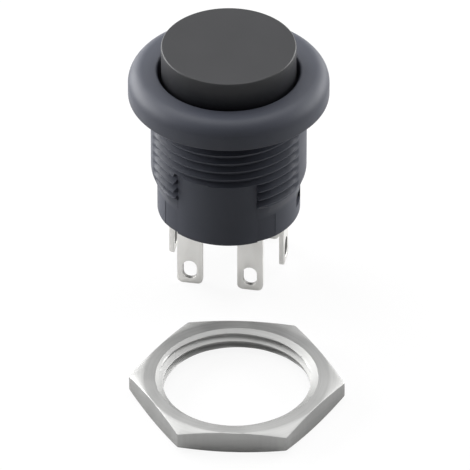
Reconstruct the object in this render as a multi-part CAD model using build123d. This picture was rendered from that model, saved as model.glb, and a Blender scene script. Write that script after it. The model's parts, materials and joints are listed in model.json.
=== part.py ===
from build123d import *
import os
from math import atan, cos, degrees, radians, sin, sqrt, tan

# Latching changeover push button for a 16 mm panel hole, with its hexagon nut.
# Origin: centre of the bezel's underside, on the button's axis, where the panel sits.
# +Z points out of the panel along the button, -Y is the front, +X the right. Millimetres.
# The nut is off the bushing and lies in front of the switch, level with the tips of its lugs.

# ---- driving dimensions ----

# Panel thread: 16 mm, 1 mm pitch. The housing's bushing is plain at the crest diameter here.
THREAD_D = 16.0
THREAD_PITCH = 1.0
MINOR_D = THREAD_D - 1.0825 * THREAD_PITCH

# Bezel
BEZEL_OVERHANG = 2.3
BEZEL_H = 2.95
BEZEL_ROUND = 1.55
BEZEL_LIP_ROUND = 0.25

# Body below the bezel
BUSHING_LEN = 9.0
LEAD_IN_LEN = 1.8
SKIRT_INSET = 0.64
SKIRT_WALL = 0.76
BORE_LEDGE = 0.3
WELL_WALL = 0.72
WEB_T = 1.2

# Smooth pads, front and rear: the skirt's surface runs up between the threaded parts
PAD_TOP = 6.3
PAD_ANGLE = 68.0

# Shallow recesses at the rim and snap windows at the sides
RECESS_ANGLE = 43.0
RECESS_SPAN = 17.0
RECESS_LEN = 2.9
RECESS_DEPTH = 0.25
WINDOW_SPAN = 17.0
WINDOW_H = 1.5
WINDOW_RIM = 1.35

# Button cap
CAP_GAP = 0.38
CAP_PROUD = 2.9
CAP_COVERED = 1.2
CAP_WALL = 1.1
CAP_TOP_T = 1.2
CAP_EDGE_ROUND = 0.15
SOCKET_LEN = 2.2
SOCKET_WALL = 0.9

# Stroke
TRAVEL = 2.2
LATCHED_TRAVEL = 1.85
STOP_GAP = 0.15
REST_GAP = 0.05

# Plunger
NECK_W = 4.0
BODY_W = 5.2
PLUNGER_LEN = 5.5
SLIDE_GAP = 0.1
BARB_H = 0.7
BARB_OUT = 0.25
BARB_BELOW_TOP = 0.5
KEY_W = 1.4

# Return spring
SPRING_D = 2.9
SPRING_WIRE = 0.3
SPRING_TURNS = 6
SPRING_GAP = 0.1
SPRING_POCKET = 4.2
SPRING_POST_LEN = 1.8

# Latch pin and its heart-shaped track
PIN_WIRE = 0.5
PIN_SWING = 12.0
PIN_TIP_BELOW = 1.0
TRACK_DEPTH = 0.6
TRACK_GAP = 0.06
PIN_FACE_GAP = 0.45
PIN_PIVOT_DEPTH = 0.8
PIN_FOOT_LEN = 1.5
PIVOT_GAP = 0.03

# Latch leaf
LEAF_W = 1.8
LEAF_T = 0.15
LEAF_GAP = 0.05
LEAF_NOTCH_W = 0.8
LEAF_ROOT = 1.2

# Terminals
LUG_W = 2.67
LUG_T = 0.5
LUG_LEN = 7.0
SIDE_LUG_LEN = 6.2
LUG_CORNER = 0.55
LUG_HOLE_W = 1.45
LUG_HOLE_H = 2.2
LUG_HOLE_TIP = 0.6
LUG_OFFSET = 0.6
LUG_OUTSET = 0.4
SHANK_W = 1.3
SHANK_INSET = 0.9
SIDE_LUG_CLEAR = 0.27
SLOT_GAP = 0.03

# Base block
BASE_T = 3.0
BASE_CLEAR = 1.45
BASE_GAP = 0.05
SNAP_GAP = 0.12
SNAP_H = 1.2
SNAP_INSET = 0.3

# Rockers and contacts
ROCKER_GAP = 0.25
ROCKER_W = 1.2
ROCKER_T = 0.3
ROCKER_CLEAR = 0.13
ROCKER_TILT = 6.0
CONTACT_D = 0.9
CONTACT_H = 0.35
CONTACT_GAP = 0.04
RIVET_D = 0.5
RIVET_GAP = 0.01
TAIL_W = 1.0
TAIL_H = 4.3
TAIL_PIN_D = 0.6
TAIL_PIN_Z = 3.9
GROOVE_DEPTH = 0.5
GROOVE_GAP = 0.06
FULCRUM_RIDGE = 0.2
FULCRUM_ANGLE = 60.0
FULCRUM_GAP = 0.02
NOTCH_DEPTH = 0.12
NOTCH_ANGLE = 120.0

# Hexagon nut
NUT_WALL = 1.5
NUT_H = 2.4
NUT_CORNER_DROP = 0.4
NUT_SINK_OVER = 0.3
NUT_SINK_H = 0.5
NUT_X = 5.28
NUT_Y = -22.85
NUT_TURN = 8.0

# ---- levels and places worked out from them ----

OVER = 1.0  # how far a cutting shape runs past the face it opens

BEZEL_D = THREAD_D + 2 * BEZEL_OVERHANG
SKIRT_D = THREAD_D - 2 * SKIRT_INSET
BASE_BORE_D = SKIRT_D - 2 * SKIRT_WALL
CHAMBER_D = BASE_BORE_D - 2 * BORE_LEDGE
WELL_R = THREAD_D / 2 - WELL_WALL
CAP_D = 2 * (WELL_R - CAP_GAP)
CAP_TOP_Z = BEZEL_H + CAP_PROUD
CAP_BOTTOM_Z = BEZEL_H - CAP_COVERED
WELL_FLOOR_Z = CAP_BOTTOM_Z - TRAVEL - STOP_GAP
WEB_BOTTOM_Z = WELL_FLOOR_Z - WEB_T
LEAD_IN_END_Z = -BUSHING_LEN - LEAD_IN_LEN

PLUNGER_TOP_Z = WEB_BOTTOM_Z - REST_GAP
PLUNGER_BOTTOM_Z = PLUNGER_TOP_Z - PLUNGER_LEN
NECK_TOP_Z = CAP_TOP_Z - CAP_TOP_T - REST_GAP
HALF_BODY = BODY_W / 2
SPRING_POCKET_R = SPRING_D / 2 + SPRING_GAP
SPRING_TOP_Z = PLUNGER_BOTTOM_Z + SPRING_POCKET
POST_R = SPRING_D / 2 - SPRING_WIRE - SPRING_GAP

BASE_TOP_Z = PLUNGER_BOTTOM_Z - TRAVEL - BASE_CLEAR
BODY_LEN = BASE_T - BASE_TOP_Z
BASE_R = BASE_BORE_D / 2 - BASE_GAP
WINDOW_Z = (WINDOW_RIM - BODY_LEN, WINDOW_RIM - BODY_LEN + WINDOW_H)
LUG_TIP_Z = -BODY_LEN - LUG_LEN
SIDE_LUG_TIP_Z = -BODY_LEN - SIDE_LUG_LEN

# The pin's pivot lies in the base; its tip reaches into the track on the plunger's rear face.
PIN_PIVOT_Z = BASE_TOP_Z - PIN_PIVOT_DEPTH
PIN_TIP_Z = PLUNGER_BOTTOM_Z + PIN_TIP_BELOW
PIN_ARM = PIN_TIP_Z - PIN_PIVOT_Z
PIN_Y = HALF_BODY + PIN_FACE_GAP + PIN_WIRE / 2
PIN_FOOT_Y = PIN_Y + PIN_FOOT_LEN
LEAF_Y = PIN_Y + PIN_WIRE / 2 + LEAF_GAP

# Rockers, contacts and shanks reach out to the chamber's wall, less a clearance each.
CHAMBER_R = CHAMBER_D / 2
ROCKER_INNER_X = HALF_BODY + ROCKER_GAP
ROCKER_X = ROCKER_INNER_X + ROCKER_W / 2
ROCKER_REACH = sqrt((CHAMBER_R - ROCKER_CLEAR) ** 2 - (ROCKER_INNER_X + ROCKER_W) ** 2)
CONTACT_Y = ROCKER_REACH - CONTACT_D / 2
SHANK_X = ROCKER_X - SHANK_INSET
LUG_X = SHANK_X + LUG_OFFSET
LUG_Y = CONTACT_Y + LUG_OUTSET
SIDE_LUG_X = CHAMBER_R - SIDE_LUG_CLEAR - LUG_T / 2

# A rocker turns on the knife edge of a side terminal. Tipped by ROCKER_TILT it touches one
# fixed contact, whose shelf lies on the base.
SHELF_TOP_Z = BASE_TOP_Z + LUG_T
FIXED_TOP_Z = SHELF_TOP_Z + CONTACT_H
TIP_DROP = CONTACT_Y * sin(radians(ROCKER_TILT)) + CONTACT_H * cos(radians(ROCKER_TILT))
PIVOT_Z = FIXED_TOP_Z + TIP_DROP + CONTACT_GAP
FULCRUM_TOP_Z = PIVOT_Z - FULCRUM_GAP - FULCRUM_RIDGE

SIDES = {"left": -1, "right": 1}
ENDS = {"front": -1, "rear": 1}


# ---- helpers ----

def block(x, y, z):
    """A box from three (low, high) pairs."""
    centre = Vector(sum(x) / 2, sum(y) / 2, sum(z) / 2)
    return Pos(centre) * Box(x[1] - x[0], y[1] - y[0], z[1] - z[0])


def rod(diameter, z):
    """A round bar on the Z axis from low to high z."""
    return Pos(0, 0, sum(z) / 2) * Cylinder(diameter / 2, z[1] - z[0])


def sector(outer_d, inner_d, z, span, centre):
    """A piece of a ring: span degrees wide, its middle turned centre degrees from -Y to +X."""
    profile = Plane.XZ * make_face(Polyline(
        (inner_d / 2, z[0]), (outer_d / 2, z[0]), (outer_d / 2, z[1]), (inner_d / 2, z[1]), close=True))
    return Rot(0, 0, centre - 90 - span / 2) * revolve(profile, Axis.Z, span)


def slot_between(start, end, width, depth):
    """A round-ended bar lying along start-end in the XY plane, depth thick, above it."""
    run = Vector(*end) - Vector(*start)
    middle = (Vector(*start) + Vector(*end)) / 2
    turn = degrees(atan(run.Y / run.X)) if run.X else 90
    return extrude(Pos(middle) * Rot(0, 0, turn) * SlotCenterToCenter(run.length, width), depth)


# ---- housing ----

def housing_outline():
    """Half section of the housing, radius against height, with the bezel's lips rounded."""
    bezel_r = BEZEL_D / 2
    crest_r = THREAD_D / 2
    skirt_r = SKIRT_D / 2
    shoulder = (bezel_r, BEZEL_H - BEZEL_ROUND)
    outer = [
        Line((WELL_R + BEZEL_LIP_ROUND, BEZEL_H), (bezel_r - BEZEL_ROUND, BEZEL_H)),
        RadiusArc((bezel_r - BEZEL_ROUND, BEZEL_H), shoulder, BEZEL_ROUND),
        Polyline(shoulder, (bezel_r, 0), (crest_r, 0), (crest_r, -BUSHING_LEN), (skirt_r, LEAD_IN_END_Z)),
    ]
    inner = [
        Polyline((skirt_r, LEAD_IN_END_Z), (skirt_r, -BODY_LEN), (BASE_BORE_D / 2, -BODY_LEN),
                 (BASE_BORE_D / 2, BASE_TOP_Z), (CHAMBER_D / 2, BASE_TOP_Z),
                 (CHAMBER_D / 2, WEB_BOTTOM_Z), (0, WEB_BOTTOM_Z), (0, WELL_FLOOR_Z),
                 (WELL_R, WELL_FLOOR_Z), (WELL_R, BEZEL_H - BEZEL_LIP_ROUND)),
        RadiusArc((WELL_R, BEZEL_H - BEZEL_LIP_ROUND), (WELL_R + BEZEL_LIP_ROUND, BEZEL_H),
                  BEZEL_LIP_ROUND),
    ]
    return Plane.XZ * make_face(outer + inner)


def make_housing():
    body = revolve(housing_outline(), Axis.Z)
    body -= block((-NECK_W / 2 - SLIDE_GAP, NECK_W / 2 + SLIDE_GAP),
                  (-NECK_W / 2 - SLIDE_GAP, NECK_W / 2 + SLIDE_GAP),
                  (WEB_BOTTOM_Z - OVER, WELL_FLOOR_Z + OVER))
    for half_turn in (0, 180):
        body -= sector(BEZEL_D, SKIRT_D, (LEAD_IN_END_Z, -PAD_TOP), PAD_ANGLE, half_turn)
        for side in SIDES.values():
            body -= sector(SKIRT_D + 2 * OVER, SKIRT_D - 2 * RECESS_DEPTH,
                           (-BODY_LEN - OVER, RECESS_LEN - BODY_LEN), RECESS_SPAN,
                           half_turn + side * RECESS_ANGLE)
    for side in SIDES.values():
        body -= sector(THREAD_D + 2 * OVER, BASE_BORE_D - 2 * OVER, WINDOW_Z, WINDOW_SPAN, side * 90)
    return body + guide_rib()


def guide_rib():
    """The rib on the chamber's front wall that keys the plunger against turning."""
    half_w = KEY_W / 2 - SLIDE_GAP
    rib = block((-half_w, half_w), (-CHAMBER_D / 2 - REST_GAP, -NECK_W / 2 - SLIDE_GAP),
                (BASE_TOP_Z + STOP_GAP, WEB_BOTTOM_Z + REST_GAP))
    return rib


# ---- button ----

def make_cap():
    """The cap: a cup with a square socket that snaps over the plunger's neck."""
    cap_r = CAP_D / 2
    roof_z = CAP_TOP_Z - CAP_TOP_T
    shell = Plane.XZ * make_face([
        Polyline((0, roof_z), (0, CAP_TOP_Z), (cap_r - CAP_EDGE_ROUND, CAP_TOP_Z)),
        RadiusArc((cap_r - CAP_EDGE_ROUND, CAP_TOP_Z), (cap_r, CAP_TOP_Z - CAP_EDGE_ROUND),
                  CAP_EDGE_ROUND),
        Polyline((cap_r, CAP_TOP_Z - CAP_EDGE_ROUND), (cap_r, CAP_BOTTOM_Z),
                 (cap_r - CAP_WALL, CAP_BOTTOM_Z), (cap_r - CAP_WALL, roof_z), (0, roof_z)),
    ])
    cap = revolve(shell, Axis.Z)
    hole_w = NECK_W + 2 * REST_GAP
    socket_w = hole_w + 2 * SOCKET_WALL
    socket = Rectangle(socket_w, socket_w) - Rectangle(hole_w, hole_w)
    cap += Pos(0, 0, roof_z - SOCKET_LEN) * extrude(socket, SOCKET_LEN)
    barb_top = NECK_TOP_Z - BARB_BELOW_TOP
    cap -= block((-NECK_W / 4 - REST_GAP, NECK_W / 4 + REST_GAP), (-socket_w, socket_w),
                 (barb_top - BARB_H - REST_GAP, barb_top + REST_GAP))
    return cap


def snap_barbs():
    """The two barbs on the neck, wedge-shaped, that catch in the cap's socket."""
    barb_top = NECK_TOP_Z - BARB_BELOW_TOP
    wedge = Plane.YZ * make_face(Polyline(
        (0, barb_top), (NECK_W / 2, barb_top), (NECK_W / 2 + BARB_OUT, barb_top - BARB_H),
        (0, barb_top - BARB_H), close=True))
    barb = Pos(-NECK_W / 4, 0, 0) * extrude(wedge, NECK_W / 2, dir=(1, 0, 0))
    return barb + Rot(0, 0, 180) * barb


def latch_track():
    """The heart-shaped track: down one flank, into the notch under the top, and back."""
    full_x = PIN_ARM * sin(radians(PIN_SWING))
    full_drop = PIN_ARM * (1 - cos(radians(PIN_SWING)))
    bottom = (0, PIN_TIP_Z)
    notch = (0, PIN_TIP_Z + LATCHED_TRAVEL)
    width = PIN_WIRE + 2 * TRACK_GAP
    track = Part()
    for side in SIDES.values():
        corner = (side * full_x, PIN_TIP_Z + TRAVEL - full_drop)
        track += slot_between(bottom, corner, width, TRACK_DEPTH + OVER)
        track += slot_between(corner, notch, width, TRACK_DEPTH + OVER)
    # Drawn in XY, raised to stand in the rear face with its floor TRACK_DEPTH below it.
    return Pos(0, HALF_BODY - TRACK_DEPTH, 0) * Rot(90, 0, 0) * mirror(track, Plane.XY)


def rocker_groove(side):
    """The inclined groove in a side face, open below, that drives a rocker's pin."""
    reach_y = TAIL_PIN_Z * sin(radians(ROCKER_TILT))
    pin_z = PIVOT_Z + TAIL_PIN_Z * cos(radians(ROCKER_TILT))
    width = TAIL_PIN_D + 2 * GROOVE_GAP
    start = (-reach_y, pin_z)
    groove = slot_between(start, (reach_y, pin_z + TRAVEL), width, GROOVE_DEPTH + OVER)
    groove += slot_between(start, (-reach_y, PLUNGER_BOTTOM_Z - OVER), width, GROOVE_DEPTH + OVER)
    # Drawn in XY as (y, z); Plane.YZ maps it so and its normal is +X.
    placed = Plane.YZ.offset(HALF_BODY - GROOVE_DEPTH) * groove
    return placed if side > 0 else mirror(placed, Plane.YZ)


def make_plunger():
    plunger = block((-NECK_W / 2, NECK_W / 2), (-NECK_W / 2, NECK_W / 2), (PLUNGER_TOP_Z, NECK_TOP_Z))
    plunger += block((-HALF_BODY, HALF_BODY), (-HALF_BODY, HALF_BODY), (PLUNGER_BOTTOM_Z, PLUNGER_TOP_Z))
    plunger += snap_barbs()
    plunger -= rod(2 * SPRING_POCKET_R, (PLUNGER_BOTTOM_Z - OVER, SPRING_TOP_Z))
    plunger -= block((-KEY_W / 2, KEY_W / 2), (-HALF_BODY - OVER, -NECK_W / 2),
                     (PLUNGER_BOTTOM_Z - OVER, PLUNGER_TOP_Z + OVER))
    plunger -= latch_track()
    for side in SIDES.values():
        plunger -= rocker_groove(side)
    return plunger


def make_spring():
    """A coil spring with ground ends, from the base to the roof of the plunger's pocket.

    The wire's section is a hexagon instead of a circle, which keeps the coil's facets few.
    """
    low = BASE_TOP_Z
    length = SPRING_TOP_Z - low
    coil_r = (SPRING_D - SPRING_WIRE) / 2
    path = Helix(length / SPRING_TURNS, length, coil_r)
    start = path @ 0
    section = Plane(start, z_dir=path % 0) * RegularPolygon(SPRING_WIRE / 2, 6)
    coil = Pos(0, 0, low) * sweep(section, path, is_frenet=True)
    return coil & rod(2 * SPRING_D, (low, SPRING_TOP_Z))


# ---- latch ----

def make_latch_pin():
    """Bent wire: a tip into the track, a shank, and a foot that turns in the base.

    The foot is round; the wire is twelve-sided elsewhere, which keeps its facets few.
    """
    wire = FilletPolyline(
        (0, HALF_BODY - TRACK_DEPTH + TRACK_GAP, PIN_TIP_Z), (0, PIN_Y, PIN_TIP_Z),
        (0, PIN_Y, PIN_PIVOT_Z), (0, PIN_FOOT_Y, PIN_PIVOT_Z), radius=PIN_WIRE / 2 + LEAF_GAP)
    section = Plane(wire @ 0, z_dir=wire % 0) * RegularPolygon(PIN_WIRE / 2, 12)
    foot_start = PIN_Y + PIN_WIRE
    foot = Pos(0, (foot_start + PIN_FOOT_Y) / 2, PIN_PIVOT_Z) * Rot(90, 0, 0)
    return sweep(section, wire) + foot * Cylinder(PIN_WIRE / 2, PIN_FOOT_Y - foot_start)


def make_latch_leaf():
    """Flat spring behind the pin, forked over its foot, with a curled free end."""
    root_z = BASE_TOP_Z - LEAF_ROOT
    curl = 4 * LEAF_T
    centre = LEAF_Y + LEAF_T / 2
    path = FilletPolyline(
        (0, centre, root_z), (0, centre, PIN_TIP_Z), (0, centre + curl, PIN_TIP_Z + curl), radius=2 * LEAF_T)
    leaf = sweep(Plane(path @ 0, z_dir=path % 0, x_dir=(1, 0, 0)) * Rectangle(LEAF_W, LEAF_T), path)
    return leaf - block((-LEAF_NOTCH_W / 2, LEAF_NOTCH_W / 2), (LEAF_Y - OVER, LEAF_Y + OVER),
                        (root_z - OVER, BASE_TOP_Z + LEAF_GAP))


# ---- base ----

def base_slots():
    """Slots for the six shanks, each SLOT_GAP wider all round."""
    thick = LUG_T / 2 + SLOT_GAP
    half_w = SHANK_W / 2 + SLOT_GAP
    z = (-BODY_LEN - OVER, BASE_TOP_Z + OVER)
    cuts = Part()
    for side in SIDES.values():
        x = side * SIDE_LUG_X
        cuts += block((x - thick, x + thick), (-half_w, half_w), z)
        for end in ENDS.values():
            x = side * SHANK_X
            y = end * LUG_Y
            cuts += block((x - half_w, x + half_w), (y - thick, y + thick), z)
    return cuts


def snap_hook(side):
    """A hook on the rim with a lead-in slope, which springs into a window."""
    catch_z = WINDOW_Z[0] + SNAP_GAP
    top_z = catch_z + SNAP_H
    out = SKIRT_D / 2 - SNAP_INSET
    half_w = SKIRT_D / 2 * sin(radians(WINDOW_SPAN / 2)) - SNAP_GAP
    wedge = Plane.XZ * make_face(Polyline(
        (BASE_R - 2 * BASE_GAP, catch_z), (out, catch_z), (out, (catch_z + top_z) / 2),
        (BASE_R - 2 * BASE_GAP, top_z), close=True))
    hook = Pos(0, half_w, 0) * extrude(wedge, 2 * half_w, dir=(0, -1, 0))
    return hook if side > 0 else mirror(hook, Plane.YZ)


def make_base():
    base = rod(2 * BASE_R, (-BODY_LEN, BASE_TOP_Z))
    base += rod(2 * POST_R, (BASE_TOP_Z - REST_GAP, BASE_TOP_Z + SPRING_POST_LEN))
    rest_half = SHANK_W / 2
    for side in SIDES.values():
        base += snap_hook(side)
        rest_x = sorted((side * ROCKER_INNER_X, side * (SIDE_LUG_X - LUG_T / 2)))
        base += block(rest_x, (-rest_half, rest_half), (BASE_TOP_Z - REST_GAP, FULCRUM_TOP_Z - LUG_T))
    base -= base_slots()
    sway = (PIN_PIVOT_DEPTH + PIN_WIRE) * sin(radians(PIN_SWING)) + PIN_WIRE / 2 + LEAF_GAP
    pocket_floor = PIN_PIVOT_Z - PIN_WIRE / 2 - PIVOT_GAP
    foot_half = PIN_WIRE / 2 + PIVOT_GAP
    base -= block((-sway, sway), (PIN_Y - foot_half, PIN_Y + foot_half), (pocket_floor, BASE_TOP_Z + OVER))
    base -= block((-foot_half, foot_half), (PIN_Y, PIN_FOOT_Y + PIVOT_GAP), (PIN_PIVOT_Z, BASE_TOP_Z + OVER))
    foot_hole = Pos(0, (PIN_Y + PIN_FOOT_Y + PIVOT_GAP) / 2, PIN_PIVOT_Z) * Rot(90, 0, 0)
    base -= foot_hole * Cylinder(foot_half, PIN_FOOT_Y + PIVOT_GAP - PIN_Y)
    leg_x = (LEAF_NOTCH_W / 2 - SLOT_GAP, LEAF_W / 2 + SLOT_GAP)
    leg_y = (LEAF_Y - SLOT_GAP, LEAF_Y + LEAF_T + SLOT_GAP)
    for side in SIDES.values():
        base -= block(sorted(side * x for x in leg_x), leg_y, (BASE_TOP_Z - LEAF_ROOT, BASE_TOP_Z + OVER))
    return base


# ---- terminals ----

def lug_blade(tip_z, inner_top_z, shank_x=0.0):
    """The flat of a terminal in the XZ plane, centred on Y: lug, shoulders and shank."""
    half_lug = LUG_W / 2
    flat = half_lug - LUG_CORNER
    corner_z = tip_z + LUG_CORNER
    shank_low = shank_x - SHANK_W / 2
    shank_high = shank_x + SHANK_W / 2
    outline = [
        RadiusArc((half_lug, corner_z), (flat, tip_z), LUG_CORNER),
        Line((flat, tip_z), (-flat, tip_z)),
        RadiusArc((-flat, tip_z), (-half_lug, corner_z), LUG_CORNER),
        Polyline((-half_lug, corner_z), (-half_lug, -BODY_LEN), (shank_low, -BODY_LEN),
                 (shank_low, inner_top_z), (shank_high, inner_top_z), (shank_high, -BODY_LEN),
                 (half_lug, -BODY_LEN), (half_lug, corner_z)),
    ]
    hole_z = tip_z + LUG_HOLE_TIP + LUG_HOLE_H / 2
    hole = Pos(0, hole_z) * Rot(0, 0, 90) * SlotCenterToCenter(LUG_HOLE_H - LUG_HOLE_W, LUG_HOLE_W)
    blade = extrude(Plane.XZ * (make_face(outline) - hole), LUG_T)
    return Pos(0, LUG_T / 2, 0) * blade


def make_end_terminal(side, end):
    """A front or rear terminal, its top turned inwards and widened under its contact."""
    terminal = Pos(side * LUG_X, end * LUG_Y, 0) * lug_blade(LUG_TIP_Z, SHELF_TOP_Z, side * (SHANK_X - LUG_X))
    shank_x = (SHANK_X - SHANK_W / 2, SHANK_X + SHANK_W / 2)
    pad_x = (shank_x[0], ROCKER_X + CONTACT_D / 2 + REST_GAP)
    pad_y = (CONTACT_Y - CONTACT_D / 2 - REST_GAP, CONTACT_Y + CONTACT_D / 2 + REST_GAP)
    for x, y in ((shank_x, (pad_y[0], LUG_Y + LUG_T / 2)), (pad_x, pad_y)):
        terminal += block(sorted(side * v for v in x), sorted(end * v for v in y), (BASE_TOP_Z, SHELF_TOP_Z))
    hole = rod(RIVET_D + 2 * RIVET_GAP, (BASE_TOP_Z - OVER, SHELF_TOP_Z + OVER))
    return terminal - Pos(side * ROCKER_X, end * CONTACT_Y, 0) * hole


def make_side_terminal(side):
    """A common terminal, turned inwards at the top with the knife edge a rocker sits on."""
    terminal = Pos(SIDE_LUG_X, 0, 0) * Rot(0, 0, 90) * lug_blade(SIDE_LUG_TIP_Z, FULCRUM_TOP_Z)
    shelf_x = (ROCKER_INNER_X, SIDE_LUG_X + LUG_T / 2)
    terminal += block(shelf_x, (-SHANK_W / 2, SHANK_W / 2), (FULCRUM_TOP_Z - LUG_T, FULCRUM_TOP_Z))
    half_ridge = FULCRUM_RIDGE * tan(radians(FULCRUM_ANGLE / 2))
    ridge = Plane.YZ * make_face(Polyline(
        (-half_ridge, FULCRUM_TOP_Z), (half_ridge, FULCRUM_TOP_Z), (0, FULCRUM_TOP_Z + FULCRUM_RIDGE),
        close=True))
    terminal += Pos(ROCKER_INNER_X, 0, 0) * extrude(ridge, ROCKER_W, dir=(1, 0, 0))
    return terminal if side > 0 else mirror(terminal, Plane.YZ)


# ---- rockers and contacts ----

def tipped(shape):
    """Turn a shape made level about the knife edge so that its front end is down."""
    return Pos(0, 0, PIVOT_Z) * Rot(ROCKER_TILT, 0, 0) * shape


def make_rocker(side):
    """A changeover lever: a level strip, an upright tail on its inner edge and the tail's pin."""
    inner = ROCKER_INNER_X
    rocker = block((inner, inner + ROCKER_W), (-ROCKER_REACH, ROCKER_REACH), (0, ROCKER_T))
    rocker += block((inner, inner + ROCKER_T), (-TAIL_W / 2, TAIL_W / 2), (0, TAIL_H))
    pin_tip_x = HALF_BODY - GROOVE_DEPTH + GROOVE_GAP
    pin = Pos((pin_tip_x + inner + ROCKER_T) / 2, 0, TAIL_PIN_Z) * Rot(0, 90, 0)
    rocker += pin * Cylinder(TAIL_PIN_D / 2, inner + ROCKER_T - pin_tip_x)
    half_notch = NOTCH_DEPTH * tan(radians(NOTCH_ANGLE / 2))
    notch = Plane.YZ * make_face(Polyline(
        (-half_notch, 0), (0, NOTCH_DEPTH), (half_notch, 0), close=True))
    rocker -= Pos(inner - OVER, 0, 0) * extrude(notch, ROCKER_W + 2 * OVER, dir=(1, 0, 0))
    for end in ENDS.values():
        rocker -= Pos(ROCKER_X, end * CONTACT_Y, 0) * rod(RIVET_D + 2 * RIVET_GAP, (-OVER, OVER))
    rocker = tipped(rocker)
    return rocker if side > 0 else mirror(rocker, Plane.YZ)


def contact_rivet(shank_len):
    """A silver contact: a bevelled button, its face at z = CONTACT_H, and a shank below."""
    flat_r = CONTACT_D / 2 - CONTACT_H / 2
    button = Plane.XZ * make_face(Polyline(
        (flat_r, CONTACT_H), (0, CONTACT_H), (0, -shank_len), (RIVET_D / 2, -shank_len),
        (RIVET_D / 2, 0), (CONTACT_D / 2, 0), (CONTACT_D / 2, CONTACT_H / 2), close=True))
    return revolve(button, Axis.Z)


def make_fixed_contact(side, end):
    return Pos(side * ROCKER_X, end * CONTACT_Y, SHELF_TOP_Z) * contact_rivet(LUG_T)


def make_rocker_contact(side, end):
    upside_down = Rot(180, 0, 0) * contact_rivet(ROCKER_T)
    return tipped(Pos(side * ROCKER_X, end * CONTACT_Y, 0) * upside_down)


# ---- nut ----

def make_nut():
    """Hexagon nut with both faces chamfered at the corners and both bore mouths sunk."""
    half_flat = THREAD_D / 2 + NUT_WALL
    sink_r = THREAD_D / 2 + NUT_SINK_OVER
    corner_r = half_flat / cos(radians(30))
    slope = NUT_CORNER_DROP / (corner_r - half_flat)
    edge_z = NUT_CORNER_DROP + OVER * slope
    hexagon = extrude(RegularPolygon(corner_r, 6), NUT_H)
    envelope = revolve(Plane.XZ * make_face(Polyline(
        (0, 0), (half_flat, 0), (corner_r + OVER, edge_z), (corner_r + OVER, NUT_H - edge_z),
        (half_flat, NUT_H), (0, NUT_H), close=True)), Axis.Z)
    bore = revolve(Plane.XZ * make_face(Polyline(
        (0, 0), (sink_r, 0), (MINOR_D / 2, NUT_SINK_H), (MINOR_D / 2, NUT_H - NUT_SINK_H),
        (sink_r, NUT_H), (0, NUT_H), close=True)), Axis.Z)
    nut = (hexagon & envelope) - bore
    return Pos(NUT_X, NUT_Y, LUG_TIP_Z) * Rot(0, 0, NUT_TURN) * nut


# ---- nodes ----

nodes = {
    "housing": make_housing(),
    "button_cap": make_cap(),
    "plunger": make_plunger(),
    "return_spring": make_spring(),
    "latch_pin": make_latch_pin(),
    "latch_leaf": make_latch_leaf(),
    "terminal_base": make_base(),
    "hex_nut": make_nut(),
}
for side_name, side in SIDES.items():
    nodes[f"terminal_side_{side_name}"] = make_side_terminal(side)
    nodes[f"rocker_{side_name}"] = make_rocker(side)
    for end_name, end in ENDS.items():
        nodes[f"terminal_{end_name}_{side_name}"] = make_end_terminal(side, end)
        nodes[f"fixed_contact_{end_name}_{side_name}"] = make_fixed_contact(side, end)
        nodes[f"rocker_contact_{end_name}_{side_name}"] = make_rocker_contact(side, end)

os.makedirs("parts", exist_ok=True)
for name, shape in nodes.items():
    export_step(shape, f"parts/{name}.step")
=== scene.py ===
import json
import math

import bpy
import numpy as np
from mathutils import Matrix, Vector


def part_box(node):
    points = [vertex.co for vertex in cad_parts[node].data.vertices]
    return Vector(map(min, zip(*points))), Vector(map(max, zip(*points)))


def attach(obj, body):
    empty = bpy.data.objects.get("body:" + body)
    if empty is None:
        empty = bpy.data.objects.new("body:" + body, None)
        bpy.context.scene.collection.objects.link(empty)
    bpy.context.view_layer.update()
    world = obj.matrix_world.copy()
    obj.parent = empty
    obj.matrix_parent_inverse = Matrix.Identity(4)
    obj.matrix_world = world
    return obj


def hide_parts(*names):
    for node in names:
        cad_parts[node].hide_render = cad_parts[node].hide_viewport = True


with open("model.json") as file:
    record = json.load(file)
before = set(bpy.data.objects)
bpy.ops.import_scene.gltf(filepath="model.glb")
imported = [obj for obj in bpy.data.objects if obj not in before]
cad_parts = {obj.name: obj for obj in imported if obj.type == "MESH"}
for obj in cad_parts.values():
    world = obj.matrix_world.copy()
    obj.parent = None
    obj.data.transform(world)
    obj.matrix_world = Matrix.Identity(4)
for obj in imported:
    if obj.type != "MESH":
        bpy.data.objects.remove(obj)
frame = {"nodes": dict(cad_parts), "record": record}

# A latching push button switch standing on its solder lugs, its hexagon nut lying in front of it.
# The frame's origin is the centre of the bezel's underside, +Z runs out along the button and -Y is
# the front. Lengths are metres; MM turns the millimetres below into metres.

bl_info = {
    "name": "Latching push button switch",
    "version": (1, 0, 0),
    "blender": (4, 5, 0),
    "location": "View3D > Sidebar > Switch",
    "description": "Models a panel push button with its threaded bushing, solder lugs and nut",
    "category": "Add Mesh",
}

MM = 0.001
FULL_TURN = 2 * math.pi
BEYOND = 1.0 * MM  # how far a cutting shape runs past the face it opens
NEAR = 0.02 * MM  # how close to a surface a vertex lies to count as on it
MERGE = 0.002 * MM  # how close doubled vertices lie
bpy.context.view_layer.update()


# ---------------------------------------------------------------- sizes read from the frame

def half_width(node):
    """Half of a round node's width along X."""
    low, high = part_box(node)
    return (high[0] - low[0]) / 2


HOUSING_LOW, HOUSING_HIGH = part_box("housing")
CAP_LOW, CAP_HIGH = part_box("button_cap")
NUT_LOW, NUT_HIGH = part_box("hex_nut")
LUG_LOW, LUG_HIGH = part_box("terminal_rear_right")
SIDE_LUG_LOW, SIDE_LUG_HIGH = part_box("terminal_side_right")
CONTACT_LOW, CONTACT_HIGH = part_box("fixed_contact_rear_right")

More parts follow.
